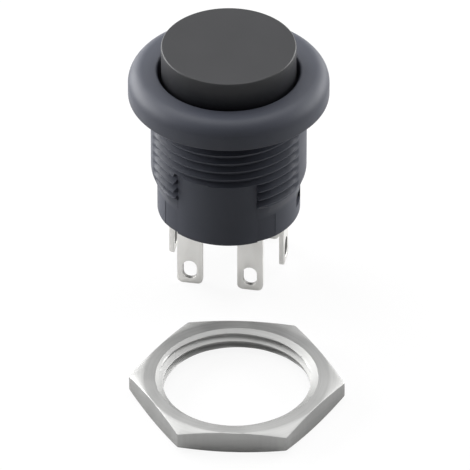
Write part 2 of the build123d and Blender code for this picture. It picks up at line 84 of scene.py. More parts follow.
BEZEL_R = half_width("housing")
BEZEL_TOP = HOUSING_HIGH[2]
RIM_Z = HOUSING_LOW[2]
CAP_R = half_width("button_cap")
FLOOR_Z = LUG_LOW[2]
MOUNTS = {mount["name"]: mount for mount in frame["record"]["mounts"]}
CREST_R = MOUNTS["panel_bushing"]["dims"]["r_mm"] * MM
MINOR_R = MOUNTS["nut_thread"]["dims"]["r_mm"] * MM
NUT_CENTRE = Vector(MOUNTS["nut_thread"]["pos_m"])


# ---------------------------------------------------------------- settings a user would change

def srgb(hex_colour):
    """A hex colour as the linear RGBA that shaders take."""
    channels = [int(hex_colour[i:i + 2], 16) / 255 for i in (1, 3, 5)]
    linear = [c / 12.92 if c <= 0.04045 else ((c + 0.055) / 1.055) ** 2.4 for c in channels]
    return (*linear, 1.0)


def colour_scaled(tint, factor):
    """The same colour, lighter or darker."""
    return tuple(part * factor for part in tint[:3]) + (1.0,)


def length(name, description, value):
    return bpy.props.FloatProperty(
        name=name, description=description, default=value, min=0.0, precision=6, unit="LENGTH")


def colour(name, description, hex_colour):
    return bpy.props.FloatVectorProperty(
        name=name, description=description, default=srgb(hex_colour), size=4, min=0.0, max=1.0,
        subtype="COLOR")


def angle(name, description, degrees):
    return bpy.props.FloatProperty(
        name=name, description=description, default=math.radians(degrees), subtype="ANGLE")


class SwitchHousingSizes(bpy.types.PropertyGroup):
    bezel_round: length("Bezel rounding", "Radius of the bezel's outer top edge", 1.55 * MM)
    lip_round: length("Lip rounding", "Radius of the edge around the button", 0.25 * MM)
    foot_round: length("Foot rounding", "Radius of the bezel's lower edge", 0.15 * MM)
    well_gap: length("Button gap", "Gap between the button and the bezel", 0.38 * MM)
    well_floor: length("Well depth", "Depth of the well's floor below the panel face", 0.6 * MM)
    web: length("Web", "Thickness of the floor under the well", 1.2 * MM)
    neck_hole: length("Neck hole", "Width of the square hole for the plunger's neck", 4.2 * MM)
    rib: length("Rib", "Width of the guide rib inside the chamber", 1.2 * MM)
    bushing: length("Bushing", "Length at the full thread diameter", 9.0 * MM)
    lead_in: length("Lead-in", "Length of the cone below the bushing", 1.8 * MM)
    lead_in_bend: length("Lead-in bend", "Length of the soft bend at the cone's ends", 0.7 * MM)
    skirt_r: length("Skirt radius", "Outer radius of the plain skirt", 7.36 * MM)
    bore_r: length("Base bore", "Radius of the bore that takes the base block", 6.6 * MM)
    chamber_r: length("Chamber", "Radius of the inner chamber", 6.3 * MM)
    base_top: length("Base depth", "Depth of the base block's top below the panel face", 11.0 * MM)
    rim_round: length("Rim rounding", "Radius of the skirt's lower edge", 0.1 * MM)
    pitch: length("Thread pitch", "Distance between neighbouring crests", 1.0 * MM)
    thread_depth: length("Thread depth", "Height of the thread's flanks", 0.6 * MM)
    thread_start: length("Thread start", "Depth where the thread begins", 0.6 * MM)
    thread_end: length("Thread end", "Depth where the thread runs out", 9.5 * MM)
    crest_level: length("Crest place", "Depth of a crest at the very front", 2.33 * MM)
    land_half: angle("Side land", "Half angle of the smooth land on each side", 20)
    land_fade: angle("Land fade", "Angle over which the grooves deepen beside a land", 14)
    land_turn: angle("Land turn", "How far the lands are turned from the sides", 4.5)
    pad_half: angle("Pad", "Half angle of the smooth pads at front and rear", 34)
    pad_top: length("Pad top", "Depth where the smooth pads begin", 6.3 * MM)
    pocket: angle("Groove pocket", "Angle over which the grooves deepen beside a pad", 10)
    pocket_depth: length("Pocket depth", "How much deeper the grooves are at a pad", 0.25 * MM)
    recess_angle: angle("Recess place", "Angle of a rim recess from the front", 43)
    recess_half: angle("Recess width", "Half angle of a rim recess", 8.5)
    recess_top: length("Recess top", "Depth where the rim recesses begin", 11.1 * MM)
    recess_depth: length("Recess depth", "How deep the rim recesses are beside a pad", 0.22 * MM)
    window_half: angle("Window", "Half angle of a snap window", 8.5)
    window_top: length("Window top", "Depth of a snap window's upper edge", 11.15 * MM)
    window_bottom: length("Window bottom", "Depth of a snap window's lower edge", 12.65 * MM)


class SwitchButtonSizes(bpy.types.PropertyGroup):
    edge: length("Edge rounding", "Radius of the cap's top edge", 0.15 * MM)
    wall: length("Wall", "Thickness of the cap's wall", 1.1 * MM)
    roof: length("Roof", "Thickness of the cap's top", 1.2 * MM)
    socket_len: length("Socket length", "Length of the square socket under the roof", 2.2 * MM)
    socket_hole: length("Socket hole", "Width of the socket's hole", 4.1 * MM)
    socket_wall: length("Socket wall", "Thickness of the socket's wall", 0.9 * MM)
    catch_width: length("Catch width", "Width of the openings that catch the barbs", 2.1 * MM)
    catch_top: length("Catch top", "Distance from the roof to the top of the openings", 0.5 * MM)
    catch_height: length("Catch height", "Height of the openings", 0.8 * MM)


class SwitchLugSizes(bpy.types.PropertyGroup):
    thick: length("Thickness", "Thickness of the stamped strip", 0.5 * MM)
    corner: length("Corner", "Radius of a lug's tip corners", 0.55 * MM)
    hole_width: length("Hole width", "Width of the obround wire hole", 1.45 * MM)
    hole_height: length("Hole height", "Height of the obround wire hole", 2.2 * MM)
    hole_tip: length("Hole to tip", "Metal left under the hole", 0.6 * MM)
    shank: length("Shank", "Width of the shank inside the base", 1.3 * MM)
    shank_inset: length("Shank inset", "From a contact's centre in to the shank's centre", 0.9 * MM)
    contact_margin: length("Contact margin", "Metal round a contact", 0.05 * MM)
    rivet_hole: length("Rivet hole", "Diameter of the hole for a contact's shank", 0.52 * MM)
    knife_height: length("Knife height", "Height of the edge that a rocker sits on", 0.2 * MM)
    knife_length: length("Knife length", "Length of the edge that a rocker sits on", 1.2 * MM)
    knife_angle: angle("Knife angle", "Angle between the two faces of that edge", 60)
    burr: length("Edge rounding", "Rounding of the stamped edges", 0.06 * MM)


class SwitchNutSizes(bpy.types.PropertyGroup):
    across_flats: length("Across flats", "Width across the hexagon's flats", 19.0 * MM)
    corner_drop: length("Corner drop", "How far the chamfer falls at the corners", 0.4 * MM)
    corner_round: length("Corner rounding", "Radius of the hexagon's upright edges", 0.22 * MM)
    edge_round: length("Edge rounding", "Softening where the chamfer meets the flats", 0.07 * MM)
    face_ring: length("Face ring", "Width of the flat ring inside the chamfer", 0.15 * MM)
    sink_r: length("Countersink", "Outer radius of the bore's countersinks", 8.3 * MM)
    sink_h: length("Countersink depth", "Depth of the countersinks", 0.5 * MM)
    thread_depth: length("Thread depth", "Height of the inner thread's flanks", 0.54 * MM)
    turn: angle("Turn", "How far the nut is turned as it lies", 8)


class SwitchColours(bpy.types.PropertyGroup):
    housing: colour("Housing", "Black glass-filled nylon", "#40434D")
    cap: colour("Cap", "Black ABS", "#111216")
    base: colour("Base", "Black moulding", "#1E1F22")
    nickel: colour("Nickel", "Nickel plate", "#9B9B9A")
    tin: colour("Tin", "Tin plate", "#E2E1DE")
    acetal: colour("Acetal", "Natural acetal", "#E4E2D8")
    bronze: colour("Bronze", "Phosphor bronze", "#C48A58")
    silver: colour("Silver", "Silver contacts", "#E6E4DF")
    wire: colour("Wire", "Spring steel", "#A2A4A8")
    table: colour("Table", "Pale table top", "#FFFFFF")


# ---------------------------------------------------------------- modelling helpers

def start_clean():
    """Leave edit mode and deselect everything, since the CAD nodes start selected."""
    if bpy.context.object and bpy.context.object.mode != "OBJECT":
        bpy.ops.object.mode_set(mode="OBJECT")
    bpy.ops.object.select_all(action="DESELECT")


def make_active(piece):
    """Select one piece alone and make it the active object."""
    start_clean()
    piece.select_set(True)
    bpy.context.view_layer.objects.active = piece


def draw_outline(name, points):
    """Draw a wire point by point, extruding one vertex, and leave it in edit mode."""
    start_clean()
    bpy.ops.mesh.primitive_plane_add(size=MM)
    piece = bpy.context.object
    piece.name = name
    bpy.ops.object.mode_set(mode="EDIT")
    bpy.ops.mesh.select_all(action="SELECT")
    bpy.ops.mesh.merge(type="CENTER")
    bpy.ops.transform.translate(value=points[0])
    for before, after in zip(points, points[1:]):
        step = Vector(after) - Vector(before)
        bpy.ops.mesh.extrude_vertices_move(TRANSFORM_OT_translate={"value": step})
    return piece


def tidy_shell(piece):
    """Join doubled vertices, turn the faces outwards and go back to object mode."""
    bpy.ops.mesh.select_all(action="SELECT")
    bpy.ops.mesh.remove_doubles(threshold=MERGE)
    bpy.ops.mesh.normals_make_consistent(inside=False)
    bpy.ops.object.mode_set(mode="OBJECT")


def lathe(name, profile, steps):
    """Spin a closed (radius, height) profile once round the Z axis."""
    ring = [(r, 0.0, z) for r, z in profile]
    piece = draw_outline(name, ring + ring[:1])
    bpy.ops.mesh.select_all(action="SELECT")
    bpy.ops.mesh.spin(steps=steps, angle=FULL_TURN, center=(0, 0, 0), axis=(0, 0, 1))
    tidy_shell(piece)
    return piece


def prism(name, outline, along, steps=1):
    """Fill a closed outline and extrude it, steps times over."""
    piece = draw_outline(name, outline + outline[:1])
    bpy.ops.mesh.select_all(action="SELECT")
    bpy.ops.mesh.remove_doubles(threshold=MERGE)
    bpy.ops.mesh.select_all(action="SELECT")
    bpy.ops.mesh.edge_face_add()
    for _ in range(steps):
        bpy.ops.mesh.extrude_region_move(TRANSFORM_OT_translate={"value": along})
    tidy_shell(piece)
    return piece


def block(name, *ranges):
    """A cuboid from its X, Y and Z ranges, each in either order, to join on or cut with."""
    lows, highs = zip(*(sorted(pair) for pair in ranges))
    start_clean()
    bpy.ops.mesh.primitive_cube_add(size=1)
    piece = bpy.context.object
    piece.name = name
    bpy.ops.object.mode_set(mode="EDIT")
    bpy.ops.mesh.select_all(action="SELECT")
    bpy.ops.transform.resize(value=[high - low for low, high in zip(lows, highs)])
    bpy.ops.transform.translate(value=[(high + low) / 2 for low, high in zip(lows, highs)])
    bpy.ops.object.mode_set(mode="OBJECT")
    return piece


def arc(centre, radius, start, end, count):
    """Points along an arc in the (radius, height) plane, angles in degrees, both ends included."""
    turns = (math.radians(start + (end - start) * i / count) for i in range(count + 1))
    return [(centre[0] + radius * math.cos(t), centre[1] + radius * math.sin(t)) for t in turns]


def reshape(piece, change):
    """Move all the vertices of a piece at once: change takes and returns an (n, 3) array."""
    mesh = piece.data
    places = np.empty(len(mesh.vertices) * 3)
    mesh.vertices.foreach_get("co", places)
    mesh.vertices.foreach_set("co", change(places.reshape(-1, 3)).ravel())
    mesh.update()


def shade(piece, degrees):
    """Shade smoothly, but keep the edges that turn by more than so many degrees crisp."""
    make_active(piece)
    bpy.ops.object.shade_smooth_by_angle(angle=math.radians(degrees))


def apply_modifier(piece, kind, **settings):
    """Put a modifier with these settings on a piece and apply it."""
    make_active(piece)
    modifier = piece.modifiers.new(kind.title(), kind)
    for key, value in settings.items():
        setattr(modifier, key, value)
    bpy.ops.object.modifier_apply(modifier=modifier.name)


def combine(piece, other, operation):
    """Cut another shape out of a piece (DIFFERENCE) or fuse it on (UNION), and delete the other."""
    apply_modifier(piece, "BOOLEAN", operation=operation, solver="EXACT", object=other)
    make_active(other)
    bpy.ops.object.delete()


def join(pieces):
    """Join several pieces into the first."""
    start_clean()
    for piece in pieces:
        piece.select_set(True)
    bpy.context.view_layer.objects.active = pieces[0]
    bpy.ops.object.join()
    return pieces[0]


def sector_block(name, inner, outer, low, high, centre, half):
    """A block bent round Z from centre - half to centre + half, angles from -Y towards +X."""
    steps = 8
    section = [(inner, 0, low), (outer, 0, low), (outer, 0, high), (inner, 0, high)]
    piece = prism(name, section, (0, MM, 0), steps)

    def bend(places):
        radius, run, z = places.T
        around = centre + half * (2 * run / (steps * MM) - 1)
        return np.column_stack((radius * np.sin(around), -radius * np.cos(around), z))

    reshape(piece, bend)
    return piece


def mirrored(piece, name, across_x, across_y):
    """A copy with a mesh of its own, mirrored where a factor is -1."""
    twin = piece.copy()
    twin.data = piece.data.copy()
    twin.name = name
    bpy.context.scene.collection.objects.link(twin)
    reshape(twin, lambda places: places * (across_x, across_y, 1))
    if across_x * across_y < 0:
        twin.data.flip_normals()
    return twin


def settle(piece, body, material, slot, *nodes):
    """Give a finished piece its material and its body, and hide the CAD nodes it stands for. The
    slot is not used.
    """
    piece.data.materials.clear()
    piece.data.materials.append(material)
    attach(piece, body)
    if nodes:
        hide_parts(*nodes)


# ---------------------------------------------------------------- materials

def add(tree, kind, links=(), **settings):
    """Add a node, set its properties or input values by name, and link (source, input) pairs."""
    made = tree.nodes.new(kind)
    for key, value in settings.items():
        if hasattr(made, key):
            setattr(made, key, value)
        else:
            made.inputs[key.replace("_", " ")].default_value = value
    for source, target in links:
        tree.links.new(source, made.inputs[target])
    return made


def new_material(name):
    """An empty material with its output node; returns the material, its tree and the output."""
    material = bpy.data.materials.new(name)
    material.use_nodes = True
    tree = material.node_tree
    tree.nodes.clear()
    return material, tree, tree.nodes.new("ShaderNodeOutputMaterial")


def ramp(tree, source, low, high, low_out, high_out):
    """Map a value from one range to another."""
    mapped = add(tree, "ShaderNodeMapRange", [(source, "Value")],
                 From_Min=low, From_Max=high, To_Min=low_out, To_Max=high_out)
    return mapped.outputs["Result"]


def grain(tree, coordinates, size, detail=2.0):
    """Noise whose blotches are about size across, in metres."""
    noise = add(tree, "ShaderNodeTexNoise", [(coordinates, "Vector")],
                Scale=1 / size, Detail=detail)
    return noise.outputs["Fac"]


def tinted(tree, factor, base):
    """A fixed colour made lighter or darker by a value from another node."""
    tint = add(tree, "ShaderNodeVectorMath", [(factor, "Scale")], operation="SCALE")
    tint.inputs[0].default_value = base[:3]
    return tint.outputs["Vector"]


def moulded_plastic(name, base, roughness, grain_size, grain_height, specular=0.5):
    """Thermoplastic moulded against a spark-eroded steel tool.

    The eroded tool leaves a fine leathery grain that breaks up the gloss, and handling leaves
    faint dull and glossy patches a few millimetres wide."""
    material, tree, output = new_material(name)
    place = add(tree, "ShaderNodeTexCoord").outputs["Object"]
    fine = grain(tree, place, grain_size, 4.0)
    patches = grain(tree, place, 4.0 * MM)
    rough = ramp(tree, patches, 0.3, 0.7, roughness - 0.04, roughness + 0.04)
    tone = tinted(tree, ramp(tree, fine, 0.25, 0.75, 0.9, 1.1), base)
    bump = add(tree, "ShaderNodeBump", [(fine, "Height")], Strength=0.6, Distance=grain_height)
    shader = add(tree, "ShaderNodeBsdfPrincipled", [
        (tone, "Base Color"), (rough, "Roughness"), (bump.outputs["Normal"], "Normal")],
        IOR=1.5, Specular_IOR_Level=specular)
    tree.links.new(shader.outputs["BSDF"], output.inputs["Surface"])
    return material


def plated_metal(name, base, roughness, grain_size, grain_height):
    """Rolled strip or drawn wire, plated or bare: its fine marks show through a thin plate.

    They soften what it reflects, and a faint cloudiness a few millimetres wide dulls it."""
    material, tree, output = new_material(name)
    place = add(tree, "ShaderNodeTexCoord").outputs["Object"]
    marks = grain(tree, place, grain_size, 3.0)
    cloud = grain(tree, place, 3.0 * MM)
    rough = ramp(tree, cloud, 0.3, 0.7, roughness - 0.04, roughness + 0.06)
    tone = tinted(tree, ramp(tree, cloud, 0.2, 0.8, 0.93, 1.0), base)
    bump = add(tree, "ShaderNodeBump", [(marks, "Height")], Strength=0.5, Distance=grain_height)
    shader = add(tree, "ShaderNodeBsdfPrincipled", [
        (tone, "Base Color"), (rough, "Roughness"), (bump.outputs["Normal"], "Normal")],
        Metallic=1.0)
    tree.links.new(shader.outputs["BSDF"], output.inputs["Surface"])
    return material


def turned_metal(name, base, roughness, axis):
    """Nickel plate on brass that was turned and tapped from drawn hexagon bar.

    The lathe leaves fine rings on the flat ends and the drawing die fine lines along the flats,
    and the thin plate shows both, so the metal gleams in narrow bands."""
    material, tree, output = new_material(name)
    place = add(tree, "ShaderNodeTexCoord").outputs["Object"]
    from_axis = add(tree, "ShaderNodeVectorMath", [(place, 0)], operation="SUBTRACT")
    from_axis.inputs[1].default_value = axis
    parts = add(tree, "ShaderNodeSeparateXYZ", [(from_axis.outputs["Vector"], "Vector")]).outputs
    level = add(tree, "ShaderNodeCombineXYZ", [(parts["X"], "X"), (parts["Y"], "Y")])
    reach = add(tree, "ShaderNodeVectorMath", [(level.outputs["Vector"], 0)], operation="LENGTH")
    slow = add(tree, "ShaderNodeVectorMath", [(from_axis.outputs["Vector"], 0)], operation="SCALE",
               Scale=0.04)
    spread = add(tree, "ShaderNodeCombineXYZ", [(reach.outputs["Value"], "X")])
    field = add(tree, "ShaderNodeVectorMath", [
        (slow.outputs["Vector"], 0), (spread.outputs["Vector"], 1)], operation="ADD")
    marks = grain(tree, field.outputs["Vector"], 0.25 * MM, 3.0)
    cloud = grain(tree, place, 3.0 * MM)
    rough = ramp(tree, cloud, 0.3, 0.7, roughness - 0.03, roughness + 0.05)
    tone = tinted(tree, ramp(tree, marks, 0.3, 0.7, 0.9, 1.0), base)
    bump = add(tree, "ShaderNodeBump", [(marks, "Height")], Strength=0.5, Distance=0.003 * MM)
    shader = add(tree, "ShaderNodeBsdfPrincipled", [
        (tone, "Base Color"), (rough, "Roughness"), (bump.outputs["Normal"], "Normal")],
        Metallic=1.0)
    tree.links.new(shader.outputs["BSDF"], output.inputs["Surface"])
    return material


# ---------------------------------------------------------------- housing

def eased(run, bend):
    """Nothing before a bend, the run itself after it, and a parabola across it."""
    half = bend / 2
    return np.where(run < half, np.maximum(run + half, 0) ** 2 / (2 * bend), run)


def wall_radius(depth, sizes):
    """Outer radius of the body at a depth below the panel face, without the thread."""
    slope = (CREST_R - sizes.skirt_r) / sizes.lead_in
    run = depth - sizes.bushing
    bend = sizes.lead_in_bend
    return CREST_R - slope * (eased(run, bend) - eased(run - sizes.lead_in, bend))


# The thread, in shares of its pitch
ROWS_PER_PITCH = 16
CREST_HALF = 1 / 16
ROOT_START = 6 / 16
RUN_IN = 0.5
RUN_OUT = 0.35
SINK_RUN = 0.4

HOUSING_STEPS = 360
RECESS_FADE = 0.85  # share of a rim recess's depth that is gone at its far edge


def thread_shape(place):
    """Height of a 60 degree thread, 1 at the crest and 0 at the root, place in turns of pitch."""
    away = np.abs((place + 0.5) % 1.0 - 0.5)
    return 1 - np.clip((away - CREST_HALF) / (ROOT_START - CREST_HALF), 0, 1)


def snap(place):
    """The nearest place that has a row of vertices, so that the crests' edges stay crisp."""
    return np.round(place * ROWS_PER_PITCH) / ROWS_PER_PITCH


def housing_profile(sizes):
    """Closed section of the housing, dense down the outer wall, where the thread is cut."""
    bezel, lip, foot, rim = sizes.bezel_round, sizes.lip_round, sizes.foot_round, sizes.rim_round
    well_r = CAP_R + sizes.well_gap
    top = BEZEL_TOP
    points = arc((well_r + lip, top - lip), lip, 180, 90, 5)
    points += arc((BEZEL_R - bezel, top - bezel), bezel, 90, 0, 16)
    points += arc((BEZEL_R - foot, foot), foot, 0, -90, 4)
    points += [(CREST_R, 0.0)]
    row = sizes.pitch / ROWS_PER_PITCH
    end = sizes.bushing + sizes.lead_in + sizes.lead_in_bend / 2
    points += [(float(wall_radius(depth, sizes)), -float(depth))
               for depth in np.arange(row, end, row)]
    points += [(sizes.skirt_r, -end), (sizes.skirt_r, (RIM_Z - end) / 2)]
    points += arc((sizes.skirt_r - rim, RIM_Z + rim), rim, 0, -90, 3)
    floor = -sizes.well_floor
    points += [(sizes.bore_r, RIM_Z), (sizes.bore_r, -sizes.base_top),
               (sizes.chamber_r, -sizes.base_top), (sizes.chamber_r, floor - sizes.web),
               (0.0, floor - sizes.web), (0.0, floor), (well_r, floor)]
    return points


def cut_thread(places, sizes):
    """Sink the helical thread into the outer wall, and the smooth pads at front and rear."""
    x, y, z = places.T
    radius, depth = np.hypot(x, y), -z
    skin = wall_radius(depth, sizes)
    around = np.arctan2(x, -y)
    outer = np.abs(radius - skin) < NEAR
    outer &= (depth > sizes.thread_start / 2) & (depth < -RIM_Z)

    # The column of vertices beside a pad moves up to its edge, which makes the pad's wall steep.
    column = FULL_TURN / HOUSING_STEPS
    nearest_end = np.round(around / math.pi) * math.pi
    off_end = around - nearest_end
    padded = outer & (depth > sizes.pad_top)
    past_pad = np.abs(off_end) - sizes.pad_half
    beside = padded & (past_pad > column / 2) & (past_pad < 3 * column / 2)
    pad_edge = nearest_end + np.sign(off_end) * (sizes.pad_half + column / 8)
    around = np.where(beside, pad_edge, around)
    on_pad = padded & (past_pad < column / 2)

    from_side = np.abs((around - sizes.land_turn) % math.pi - math.pi / 2)
    land = np.clip((from_side - sizes.land_half) / sizes.land_fade, 0, 1)
    run_in = np.clip((depth - sizes.thread_start) / (RUN_IN * sizes.pitch), 0, 1)
    run_out = np.clip((sizes.thread_end - depth) / (RUN_OUT * sizes.pitch), 0, 1)
    place = (depth - sizes.crest_level) / sizes.pitch + around / FULL_TURN
    on_row = outer & ~on_pad & (run_out > 0) & (depth > sizes.thread_start)
    depth = np.where(on_row, depth + (snap(place) - place) * sizes.pitch, depth)
    groove = (1 - thread_shape(snap(place))) * sizes.thread_depth * land * run_in * run_out

    # Beside a pad the grooves end in deeper pockets, and the cone below them sinks to the pad.
    at_pad = np.where(padded, 1 - np.clip(past_pad / sizes.pocket, 0, 1), 0)
    groove = groove * (1 + at_pad * sizes.pocket_depth / sizes.thread_depth)
    below = np.clip((depth - sizes.thread_end) / (SINK_RUN * sizes.pitch) + 0.5, 0, 1)
    skin = skin - np.maximum(skin - sizes.skirt_r, 0) * at_pad * below
    cut_r = np.where(on_pad, np.minimum(skin, sizes.skirt_r), skin - groove)
    new_radius = np.where(outer, cut_r, radius)
    return np.column_stack((new_radius * np.sin(around), -new_radius * np.cos(around), -depth))


def recess_cutter(sizes, half_turn, side):
    """Cutter of a rim recess, which is deepest beside the pad and fades out away from it."""
    cutter = sector_block(
        "recess_cutter", sizes.skirt_r - sizes.recess_depth, sizes.skirt_r + BEYOND,
        RIM_Z - BEYOND, -sizes.recess_top, half_turn + side * sizes.recess_angle, sizes.recess_half)

    def fade(places):
        x, y, z = places.T
        radius = np.hypot(x, y)
        off_end = np.abs((np.arctan2(x, -y) - half_turn + math.pi) % FULL_TURN - math.pi)
        share = (off_end - sizes.recess_angle + sizes.recess_half) / (2 * sizes.recess_half)
        lift = np.where(radius < sizes.skirt_r, RECESS_FADE * share * sizes.recess_depth, 0)
        grown = 1 + lift / radius
        return np.column_stack((x * grown, y * grown, z))

    reshape(cutter, fade)
    return cutter


def model_housing(sizes):
    """The bezel, bushing and skirt in one, with its thread, pads, recesses and windows."""
    piece = lathe("threaded_housing", housing_profile(sizes), HOUSING_STEPS)
    reshape(piece, lambda places: cut_thread(places, sizes))
    web_bottom = -sizes.well_floor - sizes.web
    half_hole, half_rib = sizes.neck_hole / 2, sizes.rib / 2
    cutters = [block("neck_cutter", (-half_hole, half_hole), (-half_hole, half_hole),
                     (web_bottom - BEYOND, BEYOND - sizes.well_floor))]
    for side in (-1, 1):
        for half_turn in (0, math.pi):
            cutters.append(recess_cutter(sizes, half_turn, side))
        cutters.append(sector_block(
            "window_cutter", sizes.bore_r - BEYOND, sizes.skirt_r + BEYOND,
            -sizes.window_bottom, -sizes.window_top, side * math.pi / 2, sizes.window_half))
    combine(piece, join(cutters), "DIFFERENCE")
    inset = 0.05 * MM
    rib = block("guide_rib", (-half_rib, half_rib), (-sizes.chamber_r - inset, -half_hole),
                (3 * inset - sizes.base_top, web_bottom + inset))
    combine(piece, rib, "UNION")
    shade(piece, 28)
    return piece


# ---------------------------------------------------------------- button

def model_cap(sizes):
    """The cap: a cup with a flat top, a fine rounded edge and a square socket under its roof."""
    low, top = CAP_LOW[2], CAP_HIGH[2]
    inner, roof = CAP_R - sizes.wall, top - sizes.roof
    points = [(0.0, top), (CAP_R * 0.5, top), (CAP_R - 3 * sizes.edge, top)]
    points += arc((CAP_R - sizes.edge, top - sizes.edge), sizes.edge, 90, 0, 8)
    points += [(CAP_R, top - 4 * sizes.edge), (CAP_R, low)]
    points += [(inner, low), (inner, roof), (0.0, roof)]
    piece = lathe("round_cap", points, 240)
    half = sizes.socket_hole / 2
    outside = half + sizes.socket_wall
    socket = block("socket", (-outside, outside), (-outside, outside),
                   (roof - sizes.socket_len, roof + sizes.roof / 2))
    combine(piece, socket, "UNION")
    catch_top = roof - sizes.catch_top
    half_catch = sizes.catch_width / 2
    openings = join([
        block("neck_opening", (-half, half), (-half, half),
              (roof - sizes.socket_len - BEYOND, roof)),
        block("catch", (-half_catch, half_catch), (-outside - BEYOND, outside + BEYOND),
              (catch_top - sizes.catch_height, catch_top))])
    combine(piece, openings, "DIFFERENCE")
    shade(piece, 30)
    return piece


# ---------------------------------------------------------------- nut

def hexagon_reach(around, sizes):
    """Distance from the nut's centre to its rounded hexagon outline, by angle."""
    half = sizes.across_flats / 2
    sixth = math.pi / 3
    off = (around + sixth / 2) % sixth - sixth / 2
    flat = half / np.cos(sixth / 2 - np.abs(off))
    centre = (half - sizes.corner_round) / math.cos(sixth / 2)
    inside = sizes.corner_round ** 2 - (centre * np.sin(off)) ** 2
    curved = centre * np.cos(off) + np.sqrt(np.maximum(inside, 0))
    touch = math.atan2(sizes.corner_round * math.sin(sixth / 2),
                       centre + sizes.corner_round * math.cos(sixth / 2))
    return np.where(np.abs(off) < touch, curved, flat)


# The rings of vertices that the nut's hexagonal outside is carved from start at these radii,
# far outside the nut, so that each ring can be told from the others.
CHAMFER_END, EDGE_MIDDLE, FLAT_START, FLAT_MIDDLE = 1.0, 1.01, 1.02, 1.03
SAME_RING = 0.003
BORE_ROW = 0.0625 * MM  # distance between the rows of vertices that the inner thread is cut from


def nut_profile(sizes, height):
    """Closed section of the nut before its outside is made hexagonal."""
    half = sizes.across_flats / 2
    ring = half - sizes.face_ring
    points = [(MINOR_R, float(z)) for z in np.arange(0, height, BORE_ROW)]
    points += [(ring, height), (half, height)]
    points += [(CHAMFER_END, height), (EDGE_MIDDLE, height), (FLAT_START, height),
               (FLAT_MIDDLE, height / 2),
               (FLAT_START, 0.0), (EDGE_MIDDLE, 0.0), (CHAMFER_END, 0.0)]
    points += [(half, 0.0), (ring, 0.0)]
    return points


def model_nut(sizes, pitch):
    """The nut: a hexagon chamfered on both faces, its bore countersunk and threaded."""
    height = NUT_HIGH[2] - NUT_LOW[2]
    piece = lathe("hexagon_nut", nut_profile(sizes, height), 480)
    half = sizes.across_flats / 2
    slope = sizes.corner_drop / (half / math.cos(math.pi / 6) - half)

    def carve(places):
        x, y, z = places.T.copy()
        radius = np.hypot(x, y)
        around = np.arctan2(y, x)
        reach = hexagon_reach(around, sizes)
        upper = z > height / 2
        soft = sizes.edge_round
        drop = np.zeros_like(z)
        at_half = np.abs(radius - half) < NEAR
        new_r = np.where(at_half, np.minimum(half, reach - 1.6 * soft), radius)
        rings = ((CHAMFER_END, soft, 0.0), (EDGE_MIDDLE, 0.25 * soft, 0.3 * soft),
                 (FLAT_START, 0.0, soft))
        for mark, inwards, downwards in rings:
            here = np.abs(radius - mark) < SAME_RING
            new_r = np.where(here, reach - inwards, new_r)
            drop = np.where(here, slope * np.maximum(reach - inwards - half, 0) + downwards, drop)
        new_r = np.where(np.abs(radius - FLAT_MIDDLE) < SAME_RING, reach, new_r)
        wall = np.abs(radius - MINOR_R) < NEAR
        mouth = 0.1 * sizes.sink_h
        inside = wall & (z > mouth) & (z < height - mouth)
        place = z / pitch - around / FULL_TURN
        new_z = np.where(upper, z - drop, z + drop)
        new_z = np.where(inside, z + (snap(place) - place) * pitch, new_z)
        threaded = MINOR_R + sizes.thread_depth * (1 - thread_shape(snap(place)))
        from_face = np.minimum(new_z, height - new_z)
        sunk = sizes.sink_r - (sizes.sink_r - MINOR_R) / sizes.sink_h * from_face
        new_r = np.where(wall, np.maximum(threaded, sunk), new_r)
        turned = around + sizes.turn
        return np.column_stack((
            new_r * np.cos(turned) + NUT_CENTRE.x, new_r * np.sin(turned) + NUT_CENTRE.y,
            new_z + NUT_LOW[2]))

    reshape(piece, carve)
    shade(piece, 24)
    return piece


# ---------------------------------------------------------------- solder lugs

def lug_blade(sizes, name, tip, top, shank_x):
    """A stamped lug in the XZ plane, centred on X and Y: rounded tip, wire hole and shank."""
    half = (LUG_HIGH[0] - LUG_LOW[0]) / 2
    thick, corner = sizes.thick, sizes.corner
    left, right = shank_x - sizes.shank / 2, shank_x + sizes.shank / 2
    outline = [(left, top), (left, RIM_Z), (-half, RIM_Z)]
    outline += arc((corner - half, tip + corner), corner, 180, 270, 8)
    outline += arc((half - corner, tip + corner), corner, 270, 360, 8)
    outline += [(half, RIM_Z), (right, RIM_Z), (right, top)]
    piece = prism(name, [(x, -thick / 2, z) for x, z in outline], (0, thick, 0))
    hole_r = sizes.hole_width / 2
    bottom = tip + sizes.hole_tip + hole_r
    upper = bottom + sizes.hole_height - sizes.hole_width
    rim = arc((0, upper), hole_r, 0, 180, 16) + arc((0, bottom), hole_r, 180, 360, 16)
    punch = prism("wire_hole", [(x, -thick, z) for x, z in rim], (0, 2 * thick, 0))
    combine(piece, punch, "DIFFERENCE")
    apply_modifier(piece, "BEVEL", width=sizes.burr, segments=3, limit_method="ANGLE",
                   angle_limit=math.radians(40))
    return piece


